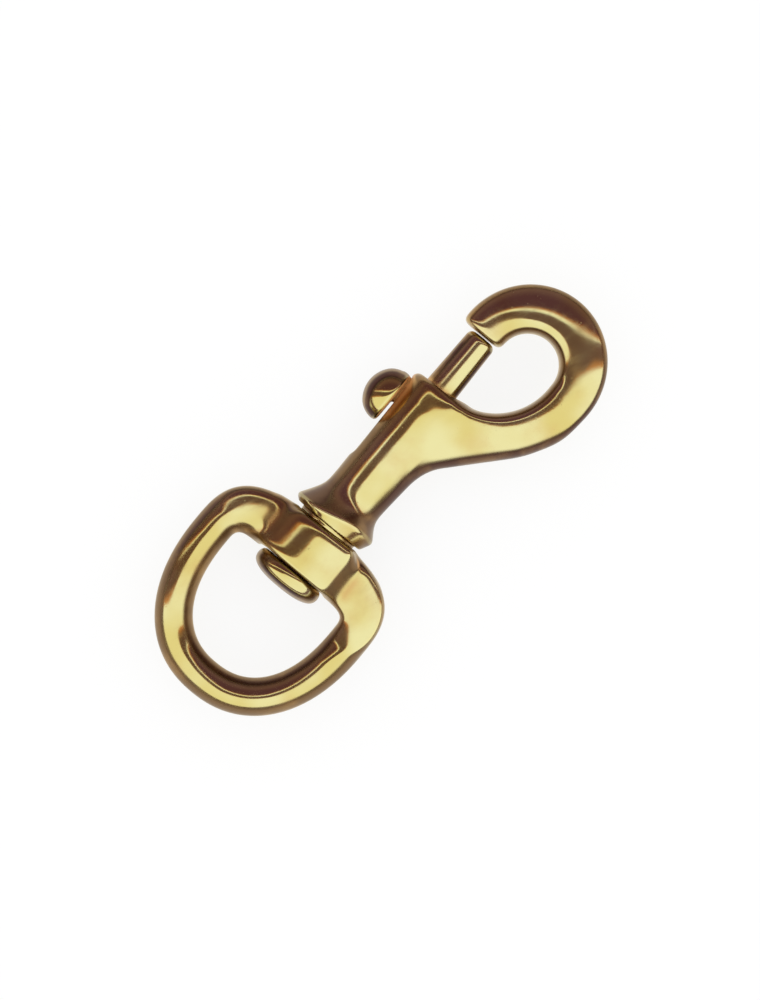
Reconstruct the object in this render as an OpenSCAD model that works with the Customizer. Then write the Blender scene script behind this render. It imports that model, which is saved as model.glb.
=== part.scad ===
// Swivel-eye bolt snap in cast brass, lying on its side as it rests on a table.
// A sprung bolt slides in the barrel and closes the throat, and the eye turns on a headed pin.
// Before place(), x runs along the bolt from the flange's back face to the mouth, and y points to the thumb knob.

/* [Barrel] */
// Outside diameter of the barrel next to its flare
barrel_d = 8.1; // [7.8:0.1:9.2]
// Outside diameter of the barrel at its mouth
mouth_d = 8.5; // [8.2:0.1:9.4]
// Length from the flange's back face to the mouth
barrel_len = 24.2; // [23.4:0.1:29]
// Edge radius round the mouth
mouth_r = 1.0; // [0.5:0.1:1.2]
// Diameter of the flange at the swivel end
flange_d = 12.3; // [11.6:0.1:14]
// Length of the flange and its flare
flare_len = 4.3; // [3.6:0.1:6]
// Diameter of the raised collar that the eye bears on
collar_d = 9.0; // [7.4:0.1:10]
// Height of the collar
collar_h = 0.7; // [0.5:0.1:1.6]

/* [Hook] */
// Clear gap between the mouth and the nose
throat_gap = 9.4; // [8.6:0.1:10.4]
// Inside radius of the bowl
bowl_r = 4.3; // [3.9:0.1:5.2]
// Width of the hook across its bend
hook_w = 6.55; // [5.6:0.05:7.4]
// Thickness of the hook at the bowl, front to back
hook_t = 6.2; // [5.2:0.1:7.4]
// Depth of the nose's lower edge below the bolt's axis
nose_drop = 2.75; // [2.4:0.05:3.2]
// Slope of the arm's back below the barrel, in degrees
arm_slope = 42.5; // [40:0.5:46]
// Radius of the hollow where the arm leaves the barrel
arm_hollow_r = 9; // [6:0.5:11]

/* [Bolt] */
// Diameter of the bolt where the barrel guides it
bolt_d = 4.8; // [4.4:0.1:5.2]
// Diameter of the bolt at its tip
bolt_tip_d = 4.4; // [3.8:0.1:4.6]
// Distance that the bolt slides
bolt_travel = 9.0; // [7:0.1:9]
// Length of the bolt behind the mouth when it is shut
bolt_tail = 6.6; // [6:0.1:7]

/* [Thumb knob] */
// Diameter of the domed knob
knob_d = 8.7; // [7.4:0.1:9.6]
// Height of the dome
knob_h = 3.95; // [3:0.05:4.2]
// Distance that the knob overhangs its neck's middle to the rear
knob_offset = 1.75; // [0:0.05:1.9]
// Length of the oblong neck along the slot
neck_len = 4.1; // [3.4:0.1:4.4]
// Width of the neck across the slot
neck_w = 2.2; // [2.1:0.1:2.8]
// Diameter of the tenon pressed into the bolt
tenon_d = 2.0; // [1.6:0.1:2.2]

/* [Spring] */
// Outside diameter of the spring
spring_d = 4.3; // [3.6:0.1:4.6]
// Diameter of the spring's wire
wire_d = 0.4; // [0.3:0.05:0.45]
// Turns of the spring, with one closed turn at each end
spring_turns = 8; // [6:1:8]

/* [Swivel eye] */
// Width of the opening for a strap or ring
eye_w = 19; // [17:0.1:26]
// Length of the opening
eye_len = 16.75; // [14:0.1:24]
// Width of the eye's round rail
rail_w = 5.35; // [4.4:0.05:6.4]
// Thickness of the rail, front to back
rail_t = 5.4; // [4.4:0.1:6.4]
// Width of the crossbar along the pin
crossbar_w = 6.9; // [6:0.1:9]
// Thickness of the crossbar's hub, front to back
hub_t = 11.2; // [10:0.1:12.2]

/* [Swivel pin] */
// Diameter of the pin's journal in the crossbar
journal_d = 5.8; // [5.6:0.1:6.4]
// Diameter of the domed head
head_d = 10.5; // [8.6:0.1:10.6]
// Height of the domed head
head_h = 3.1; // [2:0.1:3.8]

/* [Clearances] */
// Play round the bolt in its bore
bolt_play = 0.15; // [0.1:0.01:0.2]
// Play on each side of the neck in its slot
slot_play = 0.15; // [0.1:0.01:0.25]
// Play round the journal in the eye
swivel_play = 0.15; // [0.1:0.01:0.3]
// Play of the eye at each end of the crossbar
end_play = 0.15; // [0.1:0.01:0.3]
// Gap between the bolt's tip and the nose
tip_gap = 0.2; // [0.15:0.01:0.4]
// Gap between the knob and the barrel
knob_gap = 0.3; // [0.2:0.05:0.8]
// Gap round pressed pieces
press_gap = 0.01; // [0.005:0.005:0.02]

/* [Hidden] */
brass = [0.80, 0.66, 0.30];
steel = [0.62, 0.63, 0.65];

// Barrel and bore
barrel_r = barrel_d / 2;
mouth_half = mouth_d / 2;
flange_r = flange_d / 2;
bolt_r = bolt_d / 2;
bore_r = bolt_r + bolt_play;
mouth_x = barrel_len;
rim_r = 0.6;
flare_deg = atan((flange_r - barrel_r) / (flare_len - 1.4));

// Throat, bowl and nose
nose_x = mouth_x + throat_gap;
bowl_x = nose_x + 0.9;
bowl_y = -nose_drop - bowl_r;
outer_x = bowl_x + 0.1;
outer_r = bowl_r + hook_w;
crown = 0.35;
throat_x = mouth_x + 0.2 + throat_gap;
throat_y = bowl_y - bowl_r + throat_gap;
nose_r = 0.9;
bowl_half = hook_t / 2;

// Back of the arm: keel line under the barrel, hollow, straight slope and back arc
keel_x = 5;
keel_y = -barrel_r - 0.05;
keel_deg = 6.5;
back_r = 17.5;
back_y = bowl_y - outer_r + back_r;
back_end = [outer_x - back_r * sin(arm_slope), back_y - back_r * cos(arm_slope)];
corner_x = (back_end[1] - keel_y + back_end[0] * tan(arm_slope) - keel_x * tan(keel_deg))
    / (tan(arm_slope) - tan(keel_deg));
corner = [corner_x, keel_y - (corner_x - keel_x) * tan(keel_deg)];
hollow_reach = arm_hollow_r * tan((arm_slope - keel_deg) / 2);
hollow_start = corner - hollow_reach * [cos(keel_deg), -sin(keel_deg)];
hollow_end = corner + hollow_reach * [cos(arm_slope), -sin(arm_slope)];
hollow_mid = hollow_start - arm_hollow_r * [sin(keel_deg), cos(keel_deg)];

// Bolt, knob and slot
tip_x = nose_x - tip_gap;
bolt_back = mouth_x - bolt_tail;
neck_x = mouth_x - 3.4;
neck_front = neck_x + neck_len / 2;
neck_back = neck_x - neck_len / 2;
slot_w = neck_w + 2 * slot_play;
slot_front = neck_front + slot_play;
slot_back = neck_back - bolt_travel - slot_play;
knob_x = neck_x - knob_offset;
knob_y = mouth_half + knob_gap;
dome_r = (pow(knob_d / 2, 2) + pow(knob_h, 2)) / (2 * knob_h);
tenon_low = -1.2;

// Swivel: the eye runs between the collar and the pin's head
seat_out = -collar_h - end_play;
seat_in = seat_out - crossbar_w;
head_x = seat_in - end_play;
eye_bore_r = journal_d / 2 + swivel_play;
shank_end = 4.6;
eye_fore = 3.3;
eye_mid = seat_in - eye_fore;
skin_in = 0.15;
skin_out = 0.3;
hub_half = hub_t / 2;
hub_reach = 7;

// Spring between the pin's end and the bolt
spring_start = shank_end + 0.05;
spring_end = bolt_back - 0.05;
wire_r = wire_d / 2;

// Middle of the whole part, and the height of its axis above the table
x_mid = (eye_mid - (eye_len - eye_fore + rail_w) + outer_x + outer_r + crown) / 2;
y_top = max(eye_w / 2 + rail_w, knob_y + knob_h);
y_low = min(-eye_w / 2 - rail_w, bowl_y - outer_r);
axis_z = max(flange_r, hub_half);

// Cross sections of the lofted castings
ring_n = 28;
in_power = 2.6;
out_power = 2.2;

function lerp(a, b, t) = a + (b - a) * t;

function on_arc(c, r, deg) = c + r * [cos(deg), sin(deg)];

function spow(v, e) = sign(v) * pow(abs(v), e);

// Points of an arc, for turned profiles
function arc(c, r, from, to, n) = [for (i = [0:n]) on_arc(c, r, lerp(from, to, i / n))];

// One section: inner edge, outer edge, half thickness and distance of its crest from the inner edge
function section(p, q, half, crest) = [p, q, half, crest];

// The section's ring of points: two half eggs that meet at the crest
function ring(s, n_in, n_out) =
    let (w = norm(s[1] - s[0]), d = (s[1] - s[0]) / w)
    [for (k = [0:ring_n - 1])
        let (
            c = cos(360 * k / ring_n),
            e = 2 / (c < 0 ? n_in : n_out),
            reach = c < 0 ? s[3] : w - s[3],
            p = s[0] + d * (s[3] + reach * spow(c, e))
        )
        [p[0], p[1], s[2] * spow(sin(360 * k / ring_n), e)]];

// Skin through rings of points, closed on itself or capped at both ends
module skin(rings, closed) {
    m = len(rings);
    n = len(rings[0]);
    points = [for (r = rings) each r];
    last = closed ? m - 1 : m - 2;
    sides = [for (i = [0:last], k = [0:n - 1])
        let (a = i * n + k, b = i * n + (k + 1) % n, c = ((i + 1) % m) * n + k, d = ((i + 1) % m) * n + (k + 1) % n)
        each [[a, b, d], [a, d, c]]];
    caps = closed ? [] : [[for (k = [n - 1:-1:0]) k], [for (k = [0:n - 1]) (m - 1) * n + k]];
    polyhedron(points, concat(sides, caps), convexity = 8);
}

// Turned piece about the bolt's axis, from points of radius and place
module turned(points) {
    rotate([0, 90, 0])
        rotate_extrude($fn = 96)
            polygon(points);
}

module place() {
    translate([-x_mid, -(y_top + y_low) / 2, axis_z])
        children();
}

// Edges of the hook from its root in the barrel to the nose, stretch by stretch
root_in = [mouth_x - 0.4, 1];
neck_in = [mouth_x - 0.1, -0.5];
throat_in = [throat_x - throat_gap, throat_y];
throat_c = [throat_x, throat_y];
bowl_c = [bowl_x, bowl_y];

function throat_at(deg) = on_arc(throat_c, throat_gap, deg);
function back_at(deg) = [outer_x - back_r * sin(deg), back_y - back_r * cos(deg)];
function hollow_at(deg) = hollow_mid + arm_hollow_r * [sin(deg), cos(deg)];
function crown_at(deg) = [outer_x + (outer_r + crown) * cos(deg), bowl_y + outer_r * sin(deg)];

half_root = mouth_half - 0.06;
half_arm = lerp(mouth_half, bowl_half, 0.3);
half_back = lerp(mouth_half, bowl_half, 0.7);

nose_base = nose_x + nose_r;
nose_in_deg = acos((nose_base - bowl_x) / bowl_r);
nose_out_deg = acos((nose_base - outer_x) / (outer_r + crown));
nose_p = on_arc(bowl_c, bowl_r, nose_in_deg);
nose_q = crown_at(nose_out_deg);
nose_half = bowl_half - 0.15;

root_sections = [for (i = [0:2])
    let (t = i / 3)
    section(lerp(root_in, neck_in, t), lerp([keel_x, 1], [keel_x, keel_y], t),
        lerp(half_root - 0.3, half_root, t), 1.2)];

keel_sections = [for (i = [0:3])
    let (t = i / 4)
    section(lerp(neck_in, throat_in, t), lerp([keel_x, keel_y], hollow_start, t),
        half_root, lerp(1.2, 1.3, t))];

hollow_sections = [for (i = [0:5])
    let (t = i / 6)
    section(throat_at(lerp(180, 199, t)), hollow_at(lerp(keel_deg, arm_slope, t)),
        lerp(half_root, half_arm, t), lerp(1.3, 1.4, t))];

arm_sections = [for (i = [0:4])
    let (t = i / 5)
    section(throat_at(lerp(199, 227, t)), lerp(hollow_end, back_end, t),
        lerp(half_arm, half_back, t), lerp(1.4, 1.7, t))];

back_sections = [for (i = [0:7])
    let (t = i / 8)
    section(throat_at(lerp(227, 270, t)), back_at(lerp(arm_slope, 3, t)),
        lerp(half_back, bowl_half, t), lerp(1.7, 2, t))];

floor_sections = [for (i = [0:1])
    let (t = i / 2)
    section(lerp(throat_at(270), bowl_c - [0, bowl_r], t), back_at(lerp(3, 0, t)), bowl_half, 2)];

bowl_low_sections = [for (i = [0:11])
    let (t = i / 12)
    section(on_arc(bowl_c, bowl_r, lerp(-90, 0, t)), crown_at(lerp(-90, 0, t)), bowl_half, 2)];

bowl_high_sections = [for (i = [0:11])
    let (t = i / 12)
    section(on_arc(bowl_c, bowl_r, lerp(0, nose_in_deg, t)), crown_at(lerp(0, nose_out_deg, t)),
        lerp(bowl_half, nose_half, t), 2)];

nose_sections = [for (i = [0:4])
    let (
        deg = 90 * i / 4,
        inset = nose_r * (1 - cos(deg)),
        along = [-nose_r * sin(deg), 0],
        d = (nose_q - nose_p) / norm(nose_q - nose_p)
    )
    section(nose_p + along + d * inset, nose_q + along - d * inset, nose_half - inset, 2 - inset)];

hook_sections = concat(root_sections, keel_sections, hollow_sections, arm_sections, back_sections,
    floor_sections, bowl_low_sections, bowl_high_sections, nose_sections);

// Arm, bowl and nose as one loft between the throat's edge and the back's edge
module hook_loft() {
    skin([for (s = hook_sections) ring(s, in_power, out_power)], false);
}

// Barrel with its mouth, flare, flange and collar
module barrel_blank() {
    flare_end = flare_len + 1.2 * tan(flare_deg / 2);
    turned(concat(
        [[0, -collar_h], [collar_d / 2, -collar_h], [collar_d / 2, 0]],
        arc([flange_r - rim_r, rim_r], rim_r, -90, 0, 6),
        arc([flange_r - rim_r, 1.4 - rim_r * 0.6], rim_r, 0, 90 - flare_deg, 4),
        arc([barrel_r + 2.4, flare_end + 0.4], 2.4, 180 + 90 - flare_deg, 180, 6),
        arc([mouth_half - mouth_r, mouth_x - mouth_r], mouth_r, 0, 90, 8),
        [[0, mouth_x]]
    ));
}

// Upright oblong about the neck's place, used for the neck and for its slot
module oblong(from, to, width, low, high) {
    r = width / 2;
    translate([from + r, low, -r])
        cube([to - from - width, high - low, width]);
    for (x = [from + r, to - r])
        translate([x, low, 0])
            rotate([-90, 0, 0])
                cylinder(h = high - low, r = r, $fn = 48);
}

module hook_body() {
    place()
        color(brass)
            difference() {
                union() {
                    barrel_blank();
                    hook_loft();
                }
                turned([
                    [0, -collar_h - 1],
                    [bore_r, -collar_h - 1],
                    [bore_r, mouth_x - 0.35],
                    [bore_r + 1.85, mouth_x + 1.5],
                    [0, mouth_x + 1.5]
                ]);
                oblong(slot_back, slot_front, slot_w, 0, mouth_half + 1);
            }
}

module bolt() {
    place()
        color(brass)
            difference() {
                turned(concat(
                    [
                        [0, bolt_back],
                        [bolt_r - 0.3, bolt_back],
                        [bolt_r, bolt_back + 0.3],
                        [bolt_r, mouth_x + 0.3]
                    ],
                    arc([bolt_tip_d / 2 - 0.6, tip_x - 0.6], 0.6, 0, 90, 6),
                    [[0, tip_x]]
                ));
                translate([neck_x, tenon_low - 0.2, 0])
                    rotate([-90, 0, 0])
                        cylinder(h = bolt_d, d = tenon_d + 2 * press_gap, $fn = 48);
            }
}

module thumb_knob() {
    place()
        color(brass) {
            difference() {
                union() {
                    oblong(neck_back, neck_front, neck_w, 0, knob_y + 0.5);
                    translate([knob_x, knob_y, 0])
                        rotate([-90, 0, 0])
                            rotate_extrude($fn = 96)
                                intersection() {
                                    translate([0, knob_h - dome_r])
                                        circle(r = dome_r, $fn = 96);
                                    square([knob_d / 2 - 0.05, knob_h + 1]);
                                }
                }
                turned([
                    [0, neck_back - 3],
                    [bolt_r + press_gap, neck_back - 3],
                    [bolt_r + press_gap, neck_front + 3],
                    [0, neck_front + 3]
                ]);
            }
            translate([neck_x, tenon_low, 0])
                rotate([-90, 0, 0])
                    cylinder(h = knob_y - tenon_low, d = tenon_d, $fn = 48);
        }
}

// Height of the wire along the spring: closed turns at the ends, even pitch between
function wire_x(turn) =
    let (
        close = wire_d * 1.05,
        run = spring_end - spring_start - wire_d - 2 * close,
        mid = min(max((turn - 1) / (spring_turns - 2), 0), 1)
    )
    spring_start + wire_r + close * (min(turn, 1) + max(turn - spring_turns + 1, 0)) + run * mid;

module bolt_spring() {
    coil_r = spring_d / 2 - wire_r;
    steps = 15 * spring_turns;
    place()
        color(steel)
            skin([for (i = [0:steps])
                let (deg = 360 * spring_turns * i / steps)
                [for (k = [0:7])
                    let (r = coil_r - wire_r * cos(45 * k))
                    [wire_x(spring_turns * i / steps) + wire_r * sin(45 * k), r * cos(deg), r * sin(deg)]]], false);
}

// A point of the eye's outline, fore and aft of its widest place
function eye_point(deg, aft, fore, half, n_aft, n_fore) =
    let (c = cos(deg), e = 2 / (c < 0 ? n_aft : n_fore))
    [eye_mid + (c < 0 ? aft : fore) * spow(c, e), half * spow(sin(deg), e)];

// Angles spread so that the crossbar's sections stand evenly along it
function even(t) = 90 * pow(t, 1.7) / (pow(t, 1.7) + pow(1 - t, 1.7));

eye_fine = 20;
eye_coarse = 16;
eye_angles = concat(
    [for (i = [0:eye_fine - 1]) even(i / eye_fine)],
    [for (i = [0:2 * eye_coarse - 1]) 90 + 90 * i / eye_coarse],
    [for (i = [0:eye_fine - 1]) 360 - even(1 - i / eye_fine)]
);

function eye_section(deg) =
    let (
        p = eye_point(deg, eye_len - eye_fore, eye_fore - skin_in, eye_w / 2, 2.3, 5),
        q = eye_point(deg, eye_len - eye_fore + rail_w, eye_fore + crossbar_w + skin_out, eye_w / 2 + rail_w, 2.2, 3.05),
        y = (p[1] + q[1]) / 2,
        hub = cos(deg) > 0 ? hub_half * sqrt(max(0, 1 - pow(y / hub_reach, 2))) : 0,
        half = pow(pow(rail_t / 2, 6) + pow(hub, 6), 1 / 6)
    )
    section(p, q, half, norm(q - p) / 2);

// Boxier sections at the hub, round ones along the rail
function eye_power(s) = lerp(2.1, 3.6, min(1, max(0, (s[2] - rail_t / 2) / (hub_half - rail_t / 2))));

module swivel_eye() {
    place()
        color(brass)
            difference() {
                skin([for (deg = eye_angles)
                    let (s = eye_section(deg), n = eye_power(s))
                    ring(s, n, n)], true);
                turned([
                    [0, seat_in - eye_fore],
                    [head_d / 2 + 0.4, seat_in - eye_fore],
                    [head_d / 2 + 0.4, seat_in],
                    [eye_bore_r, seat_in],
                    [eye_bore_r, seat_out],
                    [collar_d / 2 + 0.4, seat_out],
                    [collar_d / 2 + 0.4, seat_out + 2],
                    [0, seat_out + 2]
                ]);
            }
}

module swivel_pin() {
    dome = [for (i = [0:10])
        let (deg = 9 * i)
        [head_d / 2 * spow(sin(deg), 2 / 2.3), head_x - head_h * spow(cos(deg), 2 / 2.3)]];
    place()
        color(brass)
            turned(concat(dome, [
                [journal_d / 2, head_x],
                [journal_d / 2, -collar_h],
                [bore_r - press_gap, -collar_h],
                [bore_r - press_gap, shank_end - 0.3],
                [bore_r - 0.3, shank_end],
                [0, shank_end]
            ]));
}

hook_body();
bolt();
thumb_knob();
bolt_spring();
swivel_eye();
swivel_pin();
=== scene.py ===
"""Swivel-eye bolt snap in polished brass, dressed over its CAD frame.

Sizes in the classes are millimetres about the bolt's axis, with x from the flange's back face to the mouth
and y towards the thumb knob. Every mesh is turned into metres in the part's own frame as it is made.
"""

import logging
import math
from dataclasses import dataclass, replace
from enum import Enum

import bpy
import numpy as np
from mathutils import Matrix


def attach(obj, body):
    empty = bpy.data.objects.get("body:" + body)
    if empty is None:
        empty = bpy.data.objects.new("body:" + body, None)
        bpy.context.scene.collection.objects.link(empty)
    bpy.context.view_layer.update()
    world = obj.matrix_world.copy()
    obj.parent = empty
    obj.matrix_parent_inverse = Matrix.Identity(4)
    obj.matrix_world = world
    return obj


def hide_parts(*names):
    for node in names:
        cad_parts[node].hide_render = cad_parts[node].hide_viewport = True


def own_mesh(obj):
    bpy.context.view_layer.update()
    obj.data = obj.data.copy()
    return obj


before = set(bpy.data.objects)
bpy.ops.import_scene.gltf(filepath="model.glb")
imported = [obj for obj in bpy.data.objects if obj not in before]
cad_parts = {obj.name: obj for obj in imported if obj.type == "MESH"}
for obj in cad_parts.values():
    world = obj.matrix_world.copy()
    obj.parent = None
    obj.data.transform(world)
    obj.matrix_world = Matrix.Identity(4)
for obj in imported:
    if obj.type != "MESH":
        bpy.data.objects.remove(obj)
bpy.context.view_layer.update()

import openvdb
from mathutils import Matrix

Array = np.ndarray
Point = tuple[float, float]
Place = tuple[float, float, float]
Colour = tuple[float, float, float]
Faces = list[tuple[int, ...]]
Socket = bpy.types.NodeSocket
Sockets = dict[str, Socket]

MM = 0.001
AXIS_AT = np.array([-7.975, 1.525, 6.15])
UNCUT = -9.0  # field of a cut where it takes nothing away
PICTURE_RIGHT: Point = (0.6361, -0.7716)
PICTURE_UP: Point = (0.7716, 0.6361)
LOG = logging.getLogger("bolt_snap")


class Slot(Enum):
    """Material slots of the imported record."""

    CAST_BRASS = "cast_brass"
    TURNED_BRASS = "turned_brass"
    SPRING_STEEL = "spring_steel"


class Carrier(Enum):
    """CAD bodies that the pieces ride on."""

    HOOK = "hook"
    BOLT = "bolt"
    EYE = "eye"


def to_row(points: Array) -> Array:
    """Returns points in mm about the bolt's axis as metres in the part's frame."""
    return (np.asarray(points, float) + AXIS_AT) * MM


def arc(centre: Point, radius: float | Point, start: float, stop: float, count: int) -> Array:
    """Spaces points along an arc.

    Args:
        centre: Middle of the arc.
        radius: Radius of the arc, or its two radii along x and y.
        start: First angle in degrees.
        stop: Last angle in degrees.
        count: Number of steps.

    Returns:
        Points of the arc, ends included.
    """
    angle = np.radians(np.linspace(start, stop, count + 1))
    return np.array(centre) + np.stack([np.cos(angle), np.sin(angle)], 1) * np.array(radius)


def rising(value: Array, start: float | Array, stop: float | Array) -> Array:
    """Returns 0 before a start, 1 past a stop on either side of it, and an even rise between them."""
    return np.clip((value - start) / (stop - start), 0, 1)


def easing(value: Array, start: float | Array, stop: float | Array) -> Array:
    """Returns the same rise with both its ends eased."""
    rise = rising(value, start, stop)
    return rise * rise * (3 - 2 * rise)


def soft_min(a: Array, b: Array, width: float) -> Array:
    """Joins two solids' fields with a fillet.

    Args:
        a: First field, negative inside.
        b: Second field.
        width: Depth over which the fields run together.

    Returns:
        The joined field.
    """
    near = np.clip(width - np.abs(a - b), 0, None) / width
    return np.minimum(a, b) - near**3 * (width / 6)


def soft_max(a: Array, b: Array, width: float) -> Array:
    """Returns the common part of two fields with its edge rounded over width."""
    return -soft_min(-a, -b, width)


def rail_distance(rail: Array, x: Array, y: Array) -> tuple[Array, Array]:
    """Measures how far points stand from a line of points.

    Args:
        rail: Points of the line, in order.
        x: First coordinates.
        y: Second coordinates.

    Returns:
        Distances, positive to the left of the line's run, and places along it counted in points.
    """
    best = np.full(x.shape, 1e9)
    side = np.ones(x.shape)
    place = np.zeros(x.shape)
    for i, (a, b) in enumerate(zip(rail[:-1], rail[1:])):
        run = b - a
        along = np.clip(((x - a[0]) * run[0] + (y - a[1]) * run[1]) / (run @ run), 0, 1)
        gap = (x - a[0] - along * run[0]) ** 2 + (y - a[1] - along * run[1]) ** 2
        nearer = gap < best
        best = np.where(nearer, gap, best)
        side = np.where(nearer, run[0] * (y - a[1]) - run[1] * (x - a[0]), side)
        place = np.where(nearer, i + along, place)
    return np.where(side >= 0, 1.0, -1.0) * np.sqrt(best), place


def true_distance(shape: Array, step: float) -> Array:
    """Returns an implicit shape scaled so that it measures distance near its surface."""
    slope = np.gradient(shape, step)
    return shape / np.maximum(np.sqrt(sum(s * s for s in slope)), 1e-3)


def eased(field: Array, reach: int) -> Array:
    """Blurs a field so that small steps in it flow together.

    Args:
        field: Values over a block.
        reach: Samples on each side that a value is averaged with.

    Returns:
        The blurred field.
    """
    for axis in (0, 0, 1, 1, 2, 2):
        margin = [(reach + 1, reach) if i == axis else (0, 0) for i in range(3)]
        run = np.cumsum(np.pad(field, margin, mode="edge"), axis=axis)
        count = field.shape[axis]
        ahead = np.take(run, range(2 * reach + 1, 2 * reach + 1 + count), axis=axis)
        field = (ahead - np.take(run, range(count), axis=axis)) / (2 * reach + 1)
    return field


@dataclass(frozen=True)
class Skin:
    """A meshed surface in mm: points, faces, outward normals, and at each point how sharply it bends.

    flank is 0 where the surface lies flat and 1 where it stands upright; it sets how much painted dark reflection an
    upright side gets.
    """

    points: Array
    faces: Array
    normals: Array
    bend: Array
    flank: Array


@dataclass(frozen=True)
class Block:
    """A block of sample points in mm, in which a casting is worked out as a field."""

    low: Place
    high: Place
    step: float
    radius_step: float = 0.04
    settlings: int = 3
    stride: float = 0.7

    def axes(self) -> tuple[Array, Array, Array]:
        """Returns the sample places along x, y and z."""
        x, y, z = (np.arange(a, b + self.step, self.step) for a, b in zip(self.low, self.high))
        return x, y, z

    def turned(self, profile: Array) -> Array:
        """Works out the field of a solid turned about the bolt's axis.

        Args:
            profile: Closed outline as places along the axis and radii.

        Returns:
            Distances over the block, negative inside.
        """
        x, y, z = self.axes()
        far = math.hypot(np.abs(y).max(), np.abs(z).max()) + 0.1
        radii = np.arange(0, far, self.radius_step)
        closed = np.vstack([profile, profile[:1]])
        px, pr = np.meshgrid(x, radii, indexing="ij")
        gap, _ = rail_distance(closed, px, pr)
        inside = np.zeros(px.shape, bool)
        for a, b in zip(closed[:-1], closed[1:]):
            if a[1] != b[1]:
                crosses = (a[1] > pr) != (b[1] > pr)
                inside ^= crosses & (px < (b[0] - a[0]) * (pr - a[1]) / (b[1] - a[1]) + a[0])
        table = np.where(inside, -np.abs(gap), np.abs(gap))
        reach = np.hypot(y[:, None], z[None, :])
        return np.stack([np.interp(reach, radii, row) for row in table])

    def sample(self, grid: Array, places: Array) -> Array:
        """Reads a grid between its samples.

        Args:
            grid: Values over the block.
            places: Places counted in samples.

        Returns:
            The value at each place.
        """
        last = np.array(grid.shape) - 2
        base = np.clip(np.floor(places).astype(int), 0, last)
        part = places - base
        found = np.zeros(len(places))
        for corner in np.ndindex(2, 2, 2):
            share = np.prod(np.where(np.array(corner), part, 1 - part), axis=1)
            at = base + np.array(corner)
            found += share * grid[at[:, 0], at[:, 1], at[:, 2]]
        return found

    def skin(self, field: Array) -> Skin:
        """Meshes the surface of a field.

        Args:
            field: Distances over the block, negative inside.

        Returns:
            The surface in mm.
        """
        grid = openvdb.FloatGrid(background=3.0)
        grid.copyFromArray(np.ascontiguousarray(field, np.float32))
        places, quads = grid.convertToQuads(isovalue=0.0)
        places = np.array(places, float)
        slope = np.gradient(field)
        for _ in range(self.settlings):
            value = self.sample(field, places)
            lean = np.stack([self.sample(s, places) for s in slope], 1)
            size = np.maximum((lean**2).sum(1), 0.02)
            places -= np.clip(value / size, -self.stride, self.stride)[:, None] * lean
        lean = np.stack([self.sample(s, places) for s in slope], 1)
        normals = lean / np.maximum(np.linalg.norm(lean, axis=1), 1e-9)[:, None]
        length = np.maximum(np.sqrt(sum(s * s for s in slope)), 1e-6)
        spread = sum(np.gradient(s / length, self.step, axis=i) for i, s in enumerate(slope))
        quads = np.array(quads, int)
        a, b, d = places[quads[:, 0]], places[quads[:, 1]], places[quads[:, 3]]
        if (np.cross(b - a, d - a) * normals[quads[:, 0]]).sum() < 0:
            quads = quads[:, ::-1]
        return Skin(places * self.step + np.array(self.low), quads, normals, self.sample(spread, places),
                    1 - np.abs(normals[:, 2]))


def turned_up(normals: Array) -> Array:
    """Returns 1 where a surface turns towards the picture's top edge, and 0 where it doesn't."""
    return rising(normals[:, :2] @ PICTURE_UP, 0.1, 0.4)


def upright_shade(normals: Array, further: float = 0.12) -> Array:
    """Returns how upright a turned piece stands, less by further on its lower side, which faces the bright light; it
    sets the painted dark reflection on upright sides.
    """
    lower = rising(normals[:, :2] @ PICTURE_UP, 0.1, -0.3)
    return np.clip(1 - np.abs(normals[:, 2]) - further * lower, 0, 1)


def keep(mesh: bpy.types.Mesh, label: str, values: Array) -> None:
    """Keeps one value per point of a mesh under a label that the finishes read."""
    mesh.attributes.new(label, "FLOAT", "POINT").data.foreach_set("value", values.astype(np.float32))


def linked(name: str, data: bpy.types.ID) -> bpy.types.Object:
    """Puts data into the scene.

    Args:
        name: Name of the new object.
        data: Its mesh or camera.

    Returns:
        The object.
    """
    made = bpy.data.objects.new(name, data)
    bpy.context.scene.collection.objects.link(made)
    return made


def smooth_mesh(name: str, points: Array, faces: Faces) -> bpy.types.Mesh:
    """Makes a mesh that is shaded smooth.

    Args:
        name: Name of the mesh.
        points: Its points in mm about the bolt's axis.
        faces: The points of each face.

    Returns:
        The mesh, in metres in the part's frame.
    """
    mesh = bpy.data.meshes.new(name)
    mesh.from_pydata(to_row(points).tolist(), [], faces)
    mesh.shade_smooth()
    return mesh


def ring_faces(rings: int, sides: int) -> Faces:
    """Returns the faces between rings of points that follow each other, each ring closed on itself."""
    return [(i * sides + k, i * sides + (k + 1) % sides, (i + 1) * sides + (k + 1) % sides, (i + 1) * sides + k)
            for i in range(rings - 1) for k in range(sides)]


def mesh_object(name: str, skin: Skin) -> bpy.types.Object:
    """Makes a scene object from a surface.

    Args:
        name: Name of the piece.
        skin: Its surface in mm about the bolt's axis.

    Returns:
        The object, in metres in the part's frame, with its bend and flank kept as point attributes.
    """
    mesh = smooth_mesh(name, skin.points, skin.faces.tolist())
    mesh.normals_split_custom_set_from_vertices(skin.normals.tolist())
    keep(mesh, "bend", skin.bend)
    keep(mesh, "flank", skin.flank)
    return linked(name, mesh)


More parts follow.
